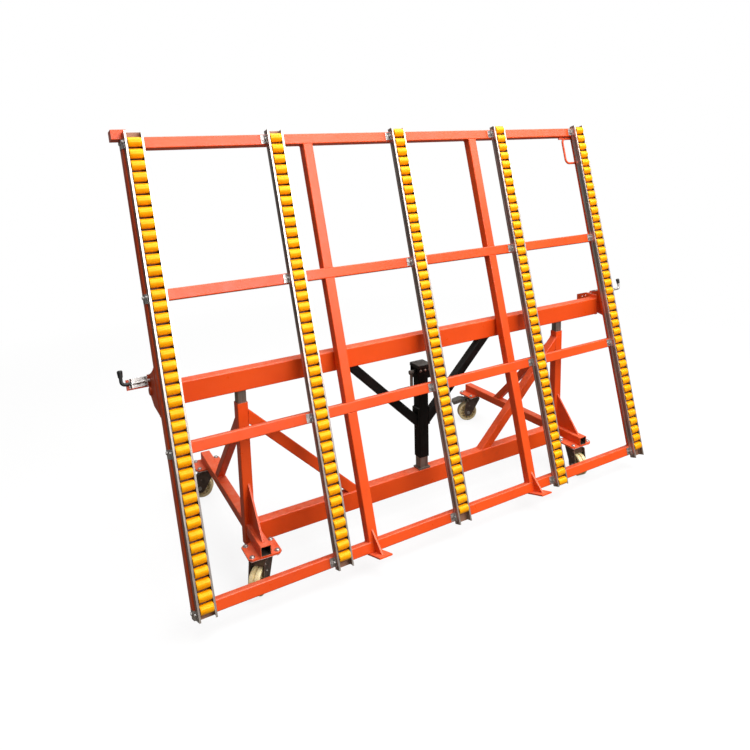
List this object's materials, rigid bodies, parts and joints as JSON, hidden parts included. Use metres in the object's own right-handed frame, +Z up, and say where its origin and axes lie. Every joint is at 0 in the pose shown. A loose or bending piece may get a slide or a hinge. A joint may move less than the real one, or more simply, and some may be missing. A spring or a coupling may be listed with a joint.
{
  "type": "slab tilting trolley",
  "caption": "Trolley with a tilting table of plastic rollers on a jack-raised beam, latched at both ends, on a caster stand, for loading and turning stone or glass slabs.",
  "frame": {"origin": "on the floor under the middle of the trolley's box", "axes": "+X along the beam to the viewer's right of the roller face, +Y to the back of the trolley, +Z up"},
  "size_m": [3.0848, 1.3726, 2.0648],
  "materials": {
    "orange_paint": "glossy orange enamel over steel tube, with small chips and dust",
    "zinc": "zinc-plated steel, dull with light edges",
    "black_paint": "satin black paint on the jack",
    "bare_steel": "oiled bare steel",
    "roller_plastic": "moulded yellow plastic",
    "wheel_polyurethane": "cream polyurethane",
    "caster_steel": "dark plated pressed steel",
    "black_grip": "black rubber",
    "bush_bronze": "plain bronze bearing metal"
  },
  "bodies": {
    "stand": {"base_rail": "orange_paint", "post_sleeves": "orange_paint", "foot_beams": "orange_paint", "front_gussets": "orange_paint", "stand_braces": "orange_paint", "caster_pads": "orange_paint", "caster_top_plates": "zinc", "caster_bolts": "zinc", "jack_leg": "bare_steel", "jack_foot": "bare_steel", "jack_nut": "bush_bronze"},
    "lift": {"main_beam": "orange_paint", "hinge_plates": "orange_paint", "inner_posts": "bare_steel", "jack_tube": "black_paint", "jack_head": "black_paint", "jack_cap": "black_paint", "jack_braces": "black_paint", "pivot_pins": "orange_paint"},
    "crank": {"crank_arm": "bare_steel"},
    "crank_grip": {"crank_grip": "black_grip"},
    "screw": {"lead_screw": "bare_steel"},
    "table": {"side_bars": "orange_paint", "cross_bars": "orange_paint", "uprights": "orange_paint", "table_ears": "orange_paint", "pivot_bushes": "bush_bronze", "slab_feet": "orange_paint", "corner_stub": "orange_paint", "pull_handle": "orange_paint", "latch_brackets": "orange_paint", "latch_bodies": "zinc", "roller_channels": "zinc", "roller_axles": "bare_steel", "rollers": "roller_plastic", "track_angles": "zinc", "track_bolts": "zinc"},
    "left_latch": {"left_latch_rod": "zinc", "left_latch_grip": "black_grip"},
    "right_latch": {"right_latch_rod": "zinc", "right_latch_grip": "black_grip"},
    "front_left_swivel": {"front_left_fork": "caster_steel", "front_left_axle": "zinc"},
    "front_left_wheel": {"front_left_wheel": "wheel_polyurethane"},
    "front_right_swivel": {"front_right_fork": "caster_steel", "front_right_axle": "zinc"},
    "front_right_wheel": {"front_right_wheel": "wheel_polyurethane"},
    "rear_left_swivel": {"rear_left_fork": "caster_steel", "rear_left_axle": "zinc"},
    "rear_left_wheel": {"rear_left_wheel": "wheel_polyurethane"},
    "rear_left_pedal": {"rear_left_brake_pedal": "caster_steel"},
    "rear_right_swivel": {"rear_right_fork": "caster_steel", "rear_right_axle": "zinc"},
    "rear_right_wheel": {"rear_right_wheel": "wheel_polyurethane"},
    "rear_right_pedal": {"rear_right_brake_pedal": "caster_steel"},
    "spin_roller_1": {"spin_roller_1": "roller_plastic"},
    "spin_roller_2": {"spin_roller_2": "roller_plastic"},
    "spin_roller_3": {"spin_roller_3": "roller_plastic"},
    "spin_roller_4": {"spin_roller_4": "roller_plastic"},
    "spin_roller_5": {"spin_roller_5": "roller_plastic"}
  },
  "joints": [
    {"name": "lift_slide", "type": "slide", "parent": "stand", "child": "lift", "axis": [0, 0, 1], "range_m": [-0.01, 0.25]},
    {"name": "tilt_hinge", "type": "hinge", "parent": "lift", "child": "table", "pos_m": [-0.066, -0.17105, 0.955], "axis": [-1, 0, 0], "range_deg": [0, 73.5]},
    {"name": "left_latch_slide", "type": "slide", "parent": "table", "child": "left_latch", "axis": [1, 0, 0], "range_m": [0, 0.022]},
    {"name": "right_latch_slide", "type": "slide", "parent": "table", "child": "right_latch", "axis": [-1, 0, 0], "range_m": [0, 0.022]},
    {"name": "crank_turn", "type": "hinge", "parent": "lift", "child": "crank", "pos_m": [-0.124, -0.23105, 0.79], "axis": [-1, 0, 0], "continuous": true},
    {"name": "screw_turn", "type": "hinge", "parent": "lift", "child": "screw", "pos_m": [-0.066, -0.23105, 0.6], "axis": [0, 0, 1], "continuous": true},
    {"name": "crank_grip_spin", "type": "hinge", "parent": "crank", "child": "crank_grip", "pos_m": [-0.176, -0.23105, 0.705], "axis": [-1, 0, 0], "continuous": true},
    {"name": "front_left_swivel_turn", "type": "hinge", "parent": "stand", "child": "front_left_swivel", "pos_m": [-1.0522, -0.40254, 0.16], "axis": [0, 0, 1], "continuous": true},
    {"name": "front_left_wheel_spin", "type": "hinge", "parent": "front_left_swivel", "child": "front_left_wheel", "pos_m": [-1.08424, -0.43414, 0.065], "axis": [0.7021, -0.7121, 0], "continuous": true},
    {"name": "front_right_swivel_turn", "type": "hinge", "parent": "stand", "child": "front_right_swivel", "pos_m": [0.914, -0.40305, 0.16], "axis": [0, 0, 1], "continuous": true},
    {"name": "front_right_wheel_spin", "type": "hinge", "parent": "front_right_swivel", "child": "front_right_wheel", "pos_m": [0.90631, -0.44739, 0.065], "axis": [0.9853, -0.1709, 0], "continuous": true},
    {"name": "rear_left_swivel_turn", "type": "hinge", "parent": "stand", "child": "rear_left_swivel", "pos_m": [-0.97571, 0.59152, 0.16], "axis": [0, 0, 1], "continuous": true},
    {"name": "rear_left_wheel_spin", "type": "hinge", "parent": "rear_left_swivel", "child": "rear_left_wheel", "pos_m": [-1.01596, 0.61164, 0.065], "axis": [-0.4472, -0.8944, 0], "continuous": true},
    {"name": "rear_left_pedal_press", "type": "hinge", "parent": "rear_left_swivel", "child": "rear_left_pedal", "pos_m": [-1.01864, 0.61299, 0.16], "axis": [-0.4472, -0.8944, 0], "range_deg": [0, 8]},
    {"name": "rear_right_swivel_turn", "type": "hinge", "parent": "stand", "child": "rear_right_swivel", "pos_m": [0.914, 0.59395, 0.16], "axis": [0, 0, 1], "continuous": true},
    {"name": "rear_right_wheel_spin", "type": "hinge", "parent": "rear_right_swivel", "child": "rear_right_wheel", "pos_m": [0.87219, 0.61059, 0.065], "axis": [-0.3697, -0.9292, 0], "continuous": true},
    {"name": "rear_right_pedal_press", "type": "hinge", "parent": "rear_right_swivel", "child": "rear_right_pedal", "pos_m": [0.8694, 0.61169, 0.16], "axis": [-0.3697, -0.9292, 0], "range_deg": [0, 8]},
    {"name": "roller_1_spin", "type": "hinge", "parent": "table", "child": "spin_roller_1", "pos_m": [-1.371, -0.33288, 1.053], "axis": [1, 0, 0], "continuous": true},
    {"name": "roller_2_spin", "type": "hinge", "parent": "table", "child": "spin_roller_2", "pos_m": [-0.741, -0.3316, 1.05731], "axis": [1, 0, 0], "continuous": true},
    {"name": "roller_3_spin", "type": "hinge", "parent": "table", "child": "spin_roller_3", "pos_m": [-0.066, -0.3282, 1.06882], "axis": [1, 0, 0], "continuous": true},
    {"name": "roller_4_spin", "type": "hinge", "parent": "table", "child": "spin_roller_4", "pos_m": [0.609, -0.32706, 1.07265], "axis": [1, 0, 0], "continuous": true},
    {"name": "roller_5_spin", "type": "hinge", "parent": "table", "child": "spin_roller_5", "pos_m": [1.239, -0.33104, 1.05923], "axis": [1, 0, 0], "continuous": true}
  ],
  "couplings": [
    {"joint": "crank_turn", "follows": "lift_slide", "rad_per_m": 628.32},
    {"joint": "screw_turn", "follows": "lift_slide", "rad_per_m": 628.32}
  ]
}
